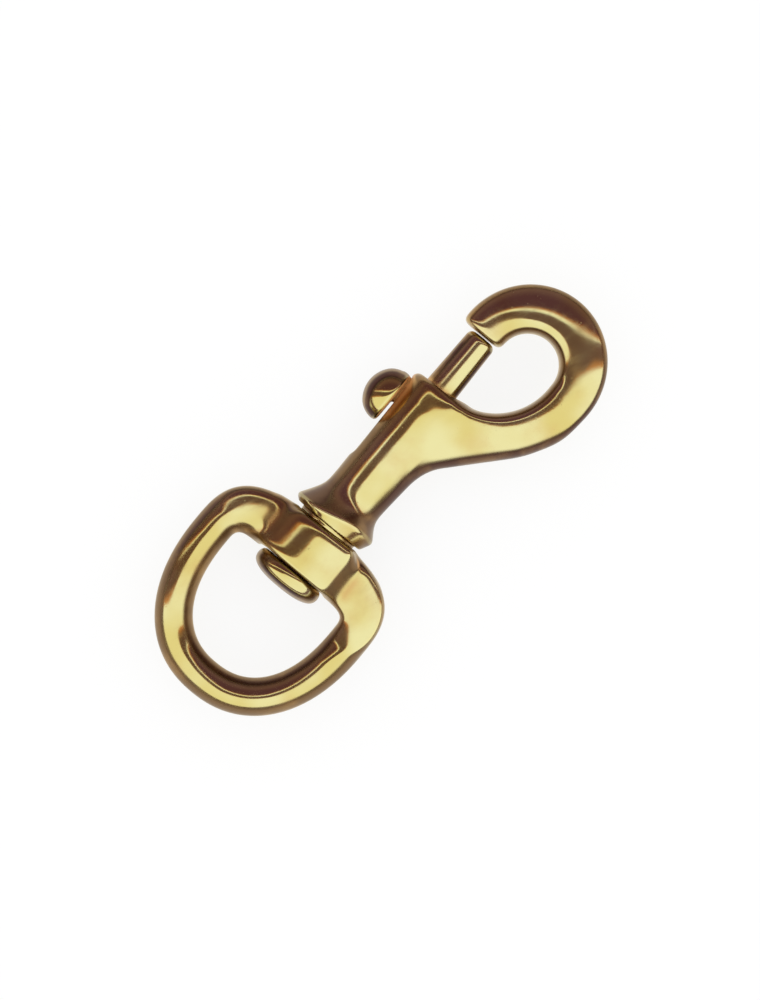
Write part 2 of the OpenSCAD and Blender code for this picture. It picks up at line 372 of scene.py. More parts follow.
def lathe_object(name: str, profile: Array, warm_reflected: Point = (0.0, 0.0), sides: int = 128) -> bpy.types.Object:
    """Makes a piece turned about the bolt's axis.

    Args:
        name: Name of the piece.
        profile: Places along the axis and radii, from the axis back to the axis.
        warm_reflected: Places along the axis from which painted warm reflection fades and where it ends.
        sides: Faces round the piece.

    Returns:
        The object, in metres in the part's frame.
    """
    rings = profile[1:-1]
    turn = np.linspace(0, 2 * np.pi, sides, endpoint=False)
    body = np.stack([
        np.repeat(rings[:, :1], sides, 1), rings[:, 1:] * np.cos(turn), rings[:, 1:] * np.sin(turn)], 2)
    points = np.vstack([body.reshape(-1, 3), [[profile[0, 0], 0, 0], [profile[-1, 0], 0, 0]]])
    count = len(rings)
    near, last = count * sides, (count - 1) * sides
    faces = ring_faces(count, sides)
    for k in range(sides):
        n = (k + 1) % sides
        faces += [(near, n, k), (near + 1, last + k, last + n)]
    mesh = smooth_mesh(name, points, faces)
    mesh.set_sharp_from_angle(angle=math.radians(35))
    run = np.gradient(rings, axis=0)
    length = np.maximum(np.linalg.norm(run, axis=1), 1e-6)
    along = np.abs(np.gradient(np.arctan2(run[:, 1], run[:, 0]))) / length
    around = np.abs(run[:, 0]) / length / np.maximum(rings[:, 1], 0.5)
    bend = np.clip(along, 0, 3) + around
    # Painted warm reflection of the mouth on the bolt: bend is pushed below zero there.
    if warm_reflected[1] > warm_reflected[0]:
        warm_reflection = rising(rings[:, 0], warm_reflected[1], warm_reflected[0])
        bend = bend * (1 - warm_reflection) - warm_reflection
    normals = np.zeros(3 * len(points), np.float32)
    mesh.vertices.foreach_get("normal", normals)
    keep(mesh, "bend", np.concatenate([np.repeat(bend, sides), bend[[0, -1]]]))
    # flank sets the painted dark reflection on the piece's upright sides.
    keep(mesh, "flank", upright_shade(normals.reshape(-1, 3)))
    return linked(name, mesh)


class Nodes:
    """Short calls for laying out one node tree."""

    def __init__(self, tree: bpy.types.NodeTree) -> None:
        """Keeps the tree and clears it."""
        self.tree = tree
        tree.nodes.clear()

    def add(self, kind: str, values: dict | None = None, **settings: object) -> bpy.types.Node:
        """Adds a node.

        Args:
            kind: Node type without its ShaderNode prefix.
            values: Input values or output sockets to link, by input name or number.
            settings: Properties of the node.

        Returns:
            The new node.
        """
        name = kind if kind.startswith("Node") else "ShaderNode" + kind
        node = self.tree.nodes.new(name)
        for key, value in settings.items():
            setattr(node, key, value)
        for key, value in (values or {}).items():
            self.feed(node.inputs[key], value)
        return node

    def feed(self, socket: Socket, value: object) -> None:
        """Links an output to a socket, or sets the socket's own value.

        Args:
            socket: Input to feed.
            value: Output to link, or a plain value.
        """
        if isinstance(value, Socket):
            self.tree.links.new(value, socket)
        else:
            socket.default_value = value

    def math(self, operation: str, *terms: object) -> Socket:
        """Adds a Math node.

        Args:
            operation: What it does.
            terms: Its inputs in order, as outputs to link or numbers.

        Returns:
            Its result.
        """
        node = self.add("Math", operation=operation)
        for socket, term in zip(node.inputs, terms):
            self.feed(socket, term)
        return node.outputs[0]

    def mix(self, factor: object, a: object, b: object) -> Socket:
        """Mixes two colours.

        Args:
            factor: Share of the second colour.
            a: First colour.
            b: Second colour.

        Returns:
            The mixed colour.
        """
        node = self.add("Mix", data_type="RGBA")
        for socket, value in zip((node.inputs[0], node.inputs[6], node.inputs[7]), (factor, a, b)):
            self.feed(socket, value)
        return node.outputs[2]

    def span(self, value: object, low: float, high: float, out_low: float = 0.0, out_high: float = 1.0,
             smooth: bool = True) -> Socket:
        """Maps a range of values to another range.

        Args:
            value: Socket to map.
            low: Start of its range.
            high: End of its range.
            out_low: Result at the start.
            out_high: Result at the end.
            smooth: Eases both ends of the range.

        Returns:
            The mapped value.
        """
        node = self.add("MapRange", interpolation_type="SMOOTHSTEP" if smooth else "LINEAR")
        for socket, term in zip(node.inputs, (value, low, high, out_low, out_high)):
            self.feed(socket, term)
        return node.outputs[0]


def new_material(name: str) -> tuple[bpy.types.Material, Nodes]:
    """Starts a material.

    Args:
        name: Name of the material.

    Returns:
        The material, and short calls for its empty node tree.
    """
    material = bpy.data.materials.new(name)
    material.use_nodes = True
    return material, Nodes(material.node_tree)


class Effect:
    """A shader node group that several finishes share."""

    name: str = ""
    inputs: dict[str, float] = {}
    outputs: tuple[str, ...] = ()

    def __init__(self) -> None:
        """Builds the group once."""
        self.group = bpy.data.node_groups.new(self.name, "ShaderNodeTree")
        for label, value in self.inputs.items():
            socket = self.group.interface.new_socket(label, in_out="INPUT", socket_type="NodeSocketFloat")
            socket.default_value = value
        for label in self.outputs:
            self.group.interface.new_socket(label, in_out="OUTPUT", socket_type="NodeSocketFloat")
        nodes = Nodes(self.group)
        given = nodes.add("NodeGroupInput")
        made = self.lay_out(nodes, {label: given.outputs[label] for label in self.inputs})
        nodes.add("NodeGroupOutput", made)

    def lay_out(self, nodes: Nodes, given: Sockets) -> Sockets:
        """Lays out the effect's nodes, and returns its outputs by name."""
        raise NotImplementedError

    def place(self, nodes: Nodes, **values: float) -> bpy.types.Node:
        """Puts this group into a material.

        Args:
            nodes: The material's nodes.
            values: Values of the group's inputs, by name.

        Returns:
            The group's node.
        """
        node = nodes.add("Group")
        node.node_tree = self.group
        for label, value in values.items():
            node.inputs[label.replace("_", " ").capitalize()].default_value = value
        return node


class PolishMarks(Effect):
    """Fine marks of the polishing wheel, long along the piece and shallow."""

    name = "polish_marks"
    inputs = {"Scale": 900.0, "Stretch": 14.0, "Crossed": 0.35}
    outputs = ("Height", "Mask")

    def lay_out(self, nodes: Nodes, given: Sockets) -> Sockets:
        """Lays out two crossing sets of long noise.

        Args:
            nodes: The group's nodes.
            given: Its inputs.

        Returns:
            The marks' height and a mask of worn streaks.
        """
        at = nodes.add("TexCoord").outputs["Object"]
        heights = []
        for turn in (0.35, -0.9):
            turned = nodes.add("VectorRotate", {"Vector": at, "Angle": turn}, rotation_type="Z_AXIS")
            split = nodes.add("SeparateXYZ", {0: turned.outputs[0]})
            short = nodes.math("DIVIDE", split.outputs[0], given["Stretch"])
            joined = nodes.add("CombineXYZ", {0: short, 1: split.outputs[1], 2: split.outputs[2]})
            noise = nodes.add("TexNoise", {
                "Vector": joined.outputs[0], "Scale": given["Scale"], "Detail": 3.0, "Roughness": 0.6})
            heights.append(noise.outputs[0])
        crossed = nodes.math("MULTIPLY", heights[1], given["Crossed"])
        height = nodes.math("ADD", heights[0], crossed)
        return {"Height": height, "Mask": nodes.span(heights[0], 0.42, 0.68)}


class CastSkin(Effect):
    """Slow waves that hand polishing leaves on a casting, and small pits."""

    name = "cast_skin"
    inputs = {"Wave scale": 160.0, "Pit scale": 1500.0, "Pit depth": 0.15}
    outputs = ("Height", "Pits")

    def lay_out(self, nodes: Nodes, given: Sockets) -> Sockets:
        """Lays out waves and pits.

        Args:
            nodes: The group's nodes.
            given: Its inputs.

        Returns:
            Their height and a mask of the pits.
        """
        at = nodes.add("TexCoord").outputs["Object"]
        waves = nodes.add("TexNoise", {
            "Vector": at, "Scale": given["Wave scale"], "Detail": 1.0, "Roughness": 0.4}).outputs[0]
        grain = nodes.add("TexVoronoi", {"Vector": at, "Scale": given["Pit scale"]}).outputs["Distance"]
        pits = nodes.span(grain, 0.2, 0.04)
        sparse = nodes.add("TexNoise", {"Vector": at, "Scale": 420.0, "Detail": 1.0}).outputs[0]
        pits = nodes.math("MULTIPLY", pits, nodes.span(sparse, 0.52, 0.66))
        dent = nodes.math("MULTIPLY", pits, given["Pit depth"])
        return {"Height": nodes.math("SUBTRACT", waves, dent), "Pits": pits}


class TarnishAndShade(Effect):
    """Cloudy brown patina and rubbed edges, with painted shade: painted warm reflection in hollows, painted dark
    reflection on upright flanks and painted dark shade.
    """

    name = "tarnish_and_shade"
    inputs = {"Cloud scale": 130.0, "Hollow": 1.0, "Clouds": 0.5, "Flanks": 0.0, "Rim from": 0.56, "Rim to": 1.0}
    outputs = ("Amount", "Edge", "Flank", "Rim", "Bloom", "Warm reflection", "Dark shade")

    def lay_out(self, nodes: Nodes, given: Sockets) -> Sockets:
        """Lays out patina and painted shade from the mesh's bend, flank and dark_shade and from clouds.

        Args:
            nodes: The group's nodes.
            given: Its inputs.

        Returns:
            The patina with painted warm reflection in hollows, rubbed edges, the painted dark reflection on upright
            flanks, its lighter rim, a slow bloom in the colour, the stronger painted warm reflection in deep hollows
            and the painted dark shade on some flanks.
        """
        at = nodes.add("TexCoord").outputs["Object"]
        bend = nodes.add("Attribute", attribute_name="bend").outputs["Fac"]
        clouds = nodes.add("TexNoise", {
            "Vector": at, "Scale": given["Cloud scale"], "Detail": 4.0, "Roughness": 0.55}).outputs[0]
        # hollow is painted warm reflection in hollows, which joins the cloudy brown patches in amount.
        hollow = nodes.math("MULTIPLY", nodes.span(bend, 0.05, -0.7), given["Hollow"])
        patches = nodes.math("MULTIPLY", nodes.span(clouds, 0.45, 0.75), given["Clouds"])
        amount = nodes.math("MINIMUM", nodes.math("ADD", hollow, patches), 1.0)
        edge = nodes.span(bend, 0.6, 1.8)
        side = nodes.add("Attribute", attribute_name="flank").outputs["Fac"]
        wobble = nodes.math("MULTIPLY_ADD", clouds, 0.1, -0.05)
        side = nodes.math("ADD", side, wobble)
        # skin here is the mask of painted dark reflection on upright flanks, a little weaker on worn edges.
        skin = nodes.span(side, 0.15, 0.29)
        worn = nodes.math("MULTIPLY_ADD", edge, -0.3, 1.0)
        skin = nodes.math("MULTIPLY", nodes.math("MULTIPLY", skin, worn), given["Flanks"])
        broad = nodes.math("MULTIPLY", given["Cloud scale"], 0.7)
        slow = nodes.add("TexNoise", {"Vector": at, "Scale": broad, "Detail": 2.0, "Roughness": 0.5}).outputs[0]
        rim = nodes.span(side, given["Rim from"], given["Rim to"])
        # dark_shade is painted dark shade on flanks that face the dark side.
        dark_shade = nodes.add("Attribute", attribute_name="dark_shade").outputs["Fac"]
        # Warm reflection is the stronger painted warm reflection in deep hollows.
        return {"Amount": amount, "Edge": edge, "Flank": skin, "Rim": rim, "Bloom": nodes.span(slow, 0.38, 0.62),
                "Warm reflection": nodes.span(bend, -0.2, -0.9), "Dark shade": dark_shade}


class ClothFade(Effect):
    """Change of a flag's tone from its lit edge to its middle and on to the horizon."""

    name = "cloth_fade"
    outputs = ("Middle", "Horizon")

    def lay_out(self, nodes: Nodes, given: Sockets) -> Sockets:
        """Returns the shares of the middle's and the horizon's tone, from the flag's depth."""
        depth = nodes.add("Attribute", attribute_name="depth").outputs["Fac"]
        return {"Middle": nodes.span(depth, 0.0, 1.0), "Horizon": nodes.span(depth, 1.0, 2.0)}


@dataclass(frozen=True)
class Effects:
    """The effects that the finishes share."""

    polish: PolishMarks
    cast: CastSkin
    tarnish_and_shade: TarnishAndShade


@dataclass(frozen=True)
class BrassFinish:
    """Polished brass with its patina, polishing marks and casting waves, and with painted dark reflection and painted
    warm reflection.
    """

    name: str
    colour: Colour = (0.76, 0.64, 0.22)
    pale: Colour = (0.85, 0.79, 0.39)
    # tarnish_and_reflection is cloudy brown patina and, in hollows, painted warm reflection.
    tarnish_and_reflection: Colour = (0.70, 0.42, 0.15)
    rubbed: Colour = (0.88, 0.80, 0.38)
    # flank_shade and flank_rim_shade are painted dark reflection on upright sides, lighter towards the most upright
    # part.
    flank_shade: Colour = (0.242, 0.146, 0.066)
    flank_rim_shade: Colour = (0.55, 0.41, 0.18)
    # warm_reflection is painted warm reflection in recesses, made less metallic by reflection_matte.
    warm_reflection: Colour = (0.68, 0.35, 0.12)
    # dark_shade_colour is painted dark shade on some flanks.
    dark_shade_colour: Colour = (0.10, 0.05, 0.04)
    rim_from: float = 0.56
    rim_to: float = 1.0
    roughness: float = 0.10
    streaks: float = 0.05
    waves: float = 0.06
    marks: float = 0.05
    pits: float = 0.06
    hollow: float = 0.8
    clouds: float = 0.35
    flanks: float = 1.0
    stretch: float = 14.0
    dull: float = 0.2
    reflection_matte: float = 0.8
    wave_depth: float = 0.001
    mark_depth: float = 0.00002

    def make(self, effects: Effects) -> bpy.types.Material:
        """Builds the material.

        Args:
            effects: Shared node groups.

        Returns:
            The brass.
        """
        material, nodes = new_material(self.name)
        polish = effects.polish.place(nodes, stretch=self.stretch)
        cast = effects.cast.place(nodes, pit_depth=self.pits)
        tarnish_and_shade = effects.tarnish_and_shade.place(nodes, hollow=self.hollow, clouds=self.clouds, flanks=self.flanks,
                                        rim_from=self.rim_from, rim_to=self.rim_to)
        shade = nodes.mix(tarnish_and_shade.outputs["Bloom"], (*self.colour, 1), (*self.pale, 1))
        shade = nodes.mix(tarnish_and_shade.outputs["Edge"], shade, (*self.rubbed, 1))
        # brown is the painted dark reflection on upright flanks.
        brown = nodes.mix(tarnish_and_shade.outputs["Rim"], (*self.flank_shade, 1), (*self.flank_rim_shade, 1))
        # The painted dark shade darkens the flanks further where it lies.
        brown = nodes.mix(tarnish_and_shade.outputs["Dark shade"], brown, (*self.dark_shade_colour, 1))
        shade = nodes.mix(tarnish_and_shade.outputs["Flank"], shade, brown)
        # Cloudy brown patina, and painted warm reflection in hollows and recesses.
        shade = nodes.mix(tarnish_and_shade.outputs["Amount"], shade, (*self.tarnish_and_reflection, 1))
        shade = nodes.mix(tarnish_and_shade.outputs["Warm reflection"], shade, (*self.warm_reflection, 1))
        metallic_share = nodes.math("MULTIPLY_ADD", tarnish_and_shade.outputs["Warm reflection"], -self.reflection_matte, 1.0)
        rough = nodes.span(polish.outputs["Mask"], 0, 1, self.roughness, self.roughness + self.streaks, False)
        skin = nodes.math("MAXIMUM", tarnish_and_shade.outputs["Amount"], tarnish_and_shade.outputs["Flank"])
        rough = nodes.math("MULTIPLY_ADD", skin, self.dull, rough)
        rough = nodes.math("MULTIPLY_ADD", cast.outputs["Pits"], self.dull, rough)
        waves = nodes.add("Bump", {
            "Strength": self.waves, "Distance": self.wave_depth, "Height": cast.outputs["Height"]})
        marks = nodes.add("Bump", {
            "Strength": self.marks, "Distance": self.mark_depth, "Height": polish.outputs["Height"],
            "Normal": waves.outputs[0]})
        surface = nodes.add("BsdfPrincipled", {
            "Base Color": shade, "Metallic": metallic_share, "Roughness": rough, "Normal": marks.outputs[0]})
        nodes.add("OutputMaterial", {0: surface.outputs[0]})
        return material


@dataclass(frozen=True)
class SteelFinish:
    """Drawn spring wire, bright with a thin brown film of oil."""

    name: str
    colour: Colour = (0.56, 0.55, 0.53)
    filmed: Colour = (0.34, 0.28, 0.22)
    roughness: float = 0.25
    streaks: float = 0.15
    marks: float = 0.1
    mark_depth: float = 0.00002
    mark_scale: float = 2500.0
    stretch: float = 6.0
    cloud_scale: float = 420.0
    clouds: float = 0.8
    hollow: float = 0.2

    def make(self, effects: Effects) -> bpy.types.Material:
        """Builds the material.

        Args:
            effects: Shared node groups.

        Returns:
            The steel.
        """
        material, nodes = new_material(self.name)
        polish = effects.polish.place(nodes, stretch=self.stretch, scale=self.mark_scale)
        tarnish_and_shade = effects.tarnish_and_shade.place(
            nodes, cloud_scale=self.cloud_scale, clouds=self.clouds, hollow=self.hollow)
        shade = nodes.mix(tarnish_and_shade.outputs["Amount"], (*self.colour, 1), (*self.filmed, 1))
        rough = nodes.span(polish.outputs["Mask"], 0, 1, self.roughness, self.roughness + self.streaks, False)
        drawn = nodes.add("Bump", {
            "Strength": self.marks, "Distance": self.mark_depth, "Height": polish.outputs["Height"]})
        surface = nodes.add("BsdfPrincipled", {
            "Base Color": shade, "Metallic": 1.0, "Roughness": rough, "Normal": drawn.outputs[0]})
        nodes.add("OutputMaterial", {0: surface.outputs[0]})
        return material


def fit(piece: bpy.types.Object, material: bpy.types.Material, node: str, carrier: Carrier) -> None:
    """Dresses a piece and lets it ride in its node's place.

    Args:
        piece: The finished mesh.
        material: Its finish.
        node: CAD node that it stands for.
        carrier: Body that carries it.
    """
    piece.data.materials.append(material)
    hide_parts(node)
    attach(piece, carrier.value)
    LOG.info("%s: %d faces on %s", piece.name, len(piece.data.polygons), carrier.value)


@dataclass
class CastHook:
    """The brass casting with barrel, flange, arm, bowl and nose.

    Pairs of places say where something begins and where it is whole. Runs, as in wall_run, dark_shade_from and
    dark_shade_to, count the points of the back edge, from the keel at 0 round the back and the crown.
    """

    step: float = 0.18
    low: Place = (-1.3, -18.5, -6.7)
    high: Place = (46.4, 6.8, 6.7)
    mouth_x: float = 24.2
    mouth_half: float = 4.25
    mouth_r: float = 1.0
    mouth_flare: float = 0.35
    barrel_r: float = 4.05
    flange_r: float = 6.12
    lips: int = 5
    lip_thin: float = 0.75
    lip_thick: float = 2.1
    lip_round: float = 0.8
    lip_from: float = 4.4
    lip_to: float = -3.8
    lip_end: float = -6.2
    lip_ebb: float = 0.25
    bevel_fall: float = 0.75
    bevel_grow: float = 0.08
    flare_x: float = 4.2
    flare_soft: float = 0.5
    flare_end: float = 7.0
    dip_from: float = 21.2
    dip_r: float = 9.5
    dip_skim: float = 0.02
    dip_lift: float = 0.12
    dip_edge: float = 0.5
    collar_r: float = 4.5
    collar_h: float = 0.7
    bore_r: float = 2.55
    bore_edge: float = 0.3
    slot_from: float = 9.6
    slot_to: float = 23.0
    slot_half: float = 1.25
    slot_edge: float = 0.4
    nose_x: float = 33.6
    nose_edge: float = 1.6
    gap_x: float = 25.5
    tail_x: float = 31.0
    throat: Point = (33.8, -1.95)
    throat_r: float = 9.4
    throat_lead: tuple[Point, ...] = ((23.3, 4.0), (23.8, 1.0), (24.1, -0.5))
    half_by_turn: tuple[Point, ...] = ((180, 4.0), (199, 3.9), (227, 3.45), (270, 3.1), (370, 3.1), (460, 2.95))
    crest_by_turn: tuple[Point, ...] = (
        (165, 1.2), (180, 1.3), (199, 1.4), (227, 1.7), (270, 2.0), (405, 2.0), (460, 3.3))
    bowl: Point = (34.5, -7.05)
    bowl_r: float = 4.3
    crown: Point = (34.6, -7.05)
    crown_r: Point = (11.2, 10.85)
    back: Point = (34.6, -0.4)
    back_r: float = 17.5
    hollow: Point = (9.9085, -13.7175)
    hollow_r: float = 9.0
    slope: float = 42.5
    keel_slope: float = 6.5
    keel_long: float = 17.0
    inner_power: float = 2.6
    outer_power: float = 2.2
    wall_power: float = 2.0
    wall_run: Point = (42.0, 66.0)
    overrun: float = 0.12
    edge_room: float = 0.8
    corner: float = 1.0
    thinnest: float = 0.6
    sunk: float = 0.55
    sunk_y: Point = (-2.6, 0.6)
    nose_foot: float = -5.5
    root_top: float = 0.6
    root_x: Point = (2.6, 28.0)
    root_edge: float = 1.0
    fillet: float = 1.6
    fillet_below: float = 1.6
    fillet_y: Point = (-1.5, -4.0)
    blur: int = 3
    blur_x: Point = (13.0, 27.0)
    blur_y: Point = (-6.0, 3.0)
    blur_at: Point = (20.3, -0.9)
    blur_reach: Point = (3.8, 2.0)
    # slot_reflection and mouth_reflection place painted warm reflection beside the slot and in the mouth.
    slot_reflection: float = 1.7
    slot_reflection_x: Point = (13.0, 17.0)
    mouth_reflection: float = 0.4
    # bevel_unshaded takes part of the painted dark reflection off the flange's bevel.
    bevel_unshaded: float = 0.16
    # dark_shade and its runs place painted dark shade along keel and back and on the flare's upper side.
    dark_shade: float = 0.85
    dark_shade_from: Point = (0.3, 0.8)
    dark_shade_to: Point = (95.0, 70.0)
    dark_shade_deep: Point = (3.5, 2.5)
    flare_dark_shade: float = 0.6
    flare_dark_shade_x: Point = (6.5, 4.5)

    def barrel_profile(self, lip: float) -> Array:
        """Draws the barrel's outline.

        Args:
            lip: How far the flange's crest stands from its back face.

        Returns:
            Places along the axis and radii.
        """
        top = self.flange_r + self.lip_round / 6
        place = np.linspace(0, self.flare_end, 70)
        bevel = top - (self.bevel_fall + self.bevel_grow * lip) * (1 - place / lip)
        flare, at_lip = (np.logaddexp(0, (self.flare_x - at) / self.flare_soft) for at in (place, lip))
        flare = self.barrel_r + (top - self.barrel_r) * flare / at_lip
        radii = np.vstack([
            [[0, -self.collar_h], [self.collar_r, -self.collar_h], [self.collar_r, 0]],
            np.stack([soft_min(bevel, flare, self.lip_round), place], 1),
            arc((self.mouth_half - self.mouth_r, self.mouth_x - self.mouth_r), self.mouth_r, 0, 90, 12),
            [[0, self.mouth_x]],
        ])
        return radii[:, ::-1]

    def barrel_field(self, block: Block) -> Array:
        """Works out the barrel, with a flange that is thin beside the knob and thick beside the arm.

        Args:
            block: Samples to work on.

        Returns:
            Distances, negative inside.
        """
        x, y, z = block.axes()
        ebb = self.lip_ebb * rising(y, self.lip_to, self.lip_end) ** 2
        share = easing(y, self.lip_from, self.lip_to) - ebb
        weights = np.maximum(1 - np.abs(share * (self.lips - 1) - np.arange(self.lips)[:, None]), 0)
        lips = np.linspace(self.lip_thin, self.lip_thick, self.lips)
        barrel = sum(block.turned(self.barrel_profile(lip)) * weight[:, None] for lip, weight in zip(lips, weights))
        run = x - self.dip_from
        top = self.mouth_half - self.dip_skim - np.where(run > 0, run**2 / (2 * self.dip_r), -run**2 / 3)
        lift = self.dip_lift * np.clip(-1 - y, 0, None) ** 2
        dip = np.abs(z)[None, None, :] - top[:, None, None] - lift[None, :, None]
        return soft_max(barrel, dip, self.dip_edge)

    def throat_edge(self) -> tuple[Array, Array, Array]:
        """Draws the edge along throat and bowl.

        Returns:
            Its points, and the half thickness and the crest's distance at each point.
        """
        rail = np.vstack([
            self.throat_lead,
            arc(self.throat, self.throat_r, 180, 270, 72),
            arc(self.bowl, self.bowl_r, -90, 90, 60),
            [[self.tail_x, self.bowl[1] + self.bowl_r]],
        ])
        turned = np.concatenate([[150, 165, 175], np.linspace(180, 270, 73), np.linspace(280, 460, 61), [470]])
        ease = np.hanning(15) / np.hanning(15).sum()
        half, crest = (np.convolve(np.pad(np.interp(turned, *np.array(table).T), 7, mode="edge"), ease, mode="valid")
                       for table in (self.half_by_turn, self.crest_by_turn))
        return rail, half, crest

    def back_edge(self) -> Array:
        """Draws the edge along keel, hollow, back and crown.

        Returns:
            Its points.
        """
        hollow = arc(self.hollow, self.hollow_r, 90 - self.keel_slope, 90 - self.slope, 29)
        back = arc(self.back, self.back_r, 270 - self.slope, 270, 39)
        crown = arc(self.crown, self.crown_r, -88, 90, 79)
        keel = math.radians(self.keel_slope)
        start = hollow[0] - self.keel_long * np.array([math.cos(keel), -math.sin(keel)])
        end = [[self.tail_x, self.crown[1] + self.crown_r[1]]]
        return np.vstack([[start], hollow, back, crown, end])

    def arm_field(self, block: Block) -> Array:
        """Works out the arm, bowl and nose as an egg-shaped section swept between the two edges.

        Args:
            block: Samples to work on.

        Returns:
            Distances, negative inside.
        """
        x, y, z = block.axes()
        px, py = np.meshgrid(x, y, indexing="ij")
        rail, halves, crests = self.throat_edge()
        inner, place = rail_distance(rail, px, py)
        outer, run = rail_distance(self.back_edge(), px, py)
        inner = -inner
        walled = easing(run, *self.wall_run)
        count = np.arange(len(rail))
        half = np.interp(place, count, halves)[:, :, None]
        crest = np.interp(place, count, crests)
        width = np.maximum(inner + outer, crest + self.thinnest)
        reach = np.where(inner < crest, crest, (1 + self.overrun * walled) * (width - crest))
        across = ((inner - crest) / reach)[:, :, None]
        outward = self.outer_power + (self.wall_power - self.outer_power) * walled[:, :, None]
        power = np.where(across < 0, self.inner_power, outward)
        egg = (np.abs(across) ** power + np.abs(z[None, None, :] / half) ** power) ** (1 / power) - 1
        sunk = self.sunk * easing(py, *self.sunk_y) * (px < self.gap_x)
        arm = true_distance(egg, block.step) + sunk[:, :, None]
        arm = soft_max(arm, (-outer - self.edge_room * (1 - walled))[:, :, None], self.corner)
        nose = np.where((py > self.nose_foot) & (px > self.gap_x), self.nose_x - px, UNCUT)
        arm = soft_max(arm, nose[:, :, None], self.nose_edge)
        root = np.where(px < self.root_x[1], np.maximum(py - self.root_top, self.root_x[0] - px), UNCUT)
        return soft_max(arm, root[:, :, None], self.root_edge)

    def joined(self, block: Block) -> Array:
        """Joins barrel and arm, and smooths the place where the arm leaves the mouth.

        Args:
            block: Samples to work on.

        Returns:
            Distances, negative inside.
        """
        x, y, _ = block.axes()
        fillet = self.fillet + self.fillet_below * rising(y, *self.fillet_y)[None, :, None]
        body = soft_min(self.barrel_field(block), self.arm_field(block), fillet)
        root = (slice(*np.searchsorted(x, self.blur_x)), slice(*np.searchsorted(y, self.blur_y)))
        near_x, near_y = (np.exp(-((at[part] - middle) / reach) ** 4) for at, part, middle, reach in zip(
            (x, y), root, self.blur_at, self.blur_reach))
        body[root] += (near_x[:, None] * near_y)[:, :, None] * (eased(body[root], self.blur) - body[root])
        return body

    def beside_slot(self, x: Array) -> Array:
        """Returns the nearest places on the slot's middle line."""
        return np.clip(x, self.slot_from + self.slot_half, self.slot_to - self.slot_half)

    def build(self) -> bpy.types.Object:
        """Builds the casting with its bore and slot.

        Returns:
            The casting as one mesh.
        """
        block = Block(self.low, self.high, self.step)
        x, y, z = block.axes()
        widened = self.mouth_x + 1.5
        bore = block.turned(np.array([
            [-3.0, 0], [-3.0, self.bore_r], [self.mouth_x - self.mouth_flare, self.bore_r],
            [widened, self.bore_r + 1.5 + self.mouth_flare], [widened, 0]]))
        body = soft_max(self.joined(block), -bore, self.bore_edge)
        oblong = np.hypot((x - self.beside_slot(x))[:, None], z[None, :])[:, None, :] - self.slot_half
        slot = np.maximum(oblong, -y[None, :, None])
        skin = self.warm_reflected(block.skin(soft_max(body, -slot, self.slot_edge)))
        piece = mesh_object("cast_hook", skin)
        keep(piece.data, "dark_shade", self.dark_shaded(skin))
        return piece

    def warm_reflected(self, skin: Skin) -> Skin:
        """Paints warm reflection beside the slot and in the mouth, and takes painted dark reflection off the flange's
        bevel.

        Args:
            skin: The surface as meshed.

        Returns:
            The surface with painted warm reflection beside the slot and in the mouth.
        """
        x, y, z = skin.points.T
        radius = np.hypot(y, z)
        off = np.clip(np.hypot(x - self.beside_slot(x), z) - self.slot_half, 0, None)
        slot = np.exp(-(off / self.slot_reflection) ** 2) * rising(x, *self.slot_reflection_x) * (y > 1.5)
        ahead = x - self.mouth_x
        mouth = self.mouth_reflection * rising(ahead, -0.5, -0.1) * (radius < self.mouth_half) * (ahead < 1)
        warm_reflection = np.maximum(slot, mouth)
        bend = np.where(x < 0.7, np.maximum(skin.bend, -0.1), skin.bend)
        # bevel marks the flange's bevel, where the painted dark reflection is weaker.
        bevel = rising(skin.normals[:, 0], 0, -0.2) * (x < 2.6) * (radius > 5)
        return replace(skin, bend=bend * (1 - warm_reflection) - warm_reflection, flank=skin.flank - self.bevel_unshaded * bevel)

    def dark_shaded(self, skin: Skin) -> Array:
        """Finds the painted dark shade on the flanks along keel and back and on the flare's upper side.

        Args:
            skin: The casting's surface.

        Returns:
            The painted dark shade at each point.
        """
        off, run = rail_distance(self.back_edge(), skin.points[:, 0], skin.points[:, 1])
        keel = rising(run, *self.dark_shade_from) * rising(run, *self.dark_shade_to) * rising(off, *self.dark_shade_deep)
        flare = turned_up(skin.normals) * rising(skin.points[:, 0], *self.flare_dark_shade_x)
        flare *= rising(skin.flank, 0.8, 0.6)
        return np.maximum(self.dark_shade * keel, self.flare_dark_shade * flare)


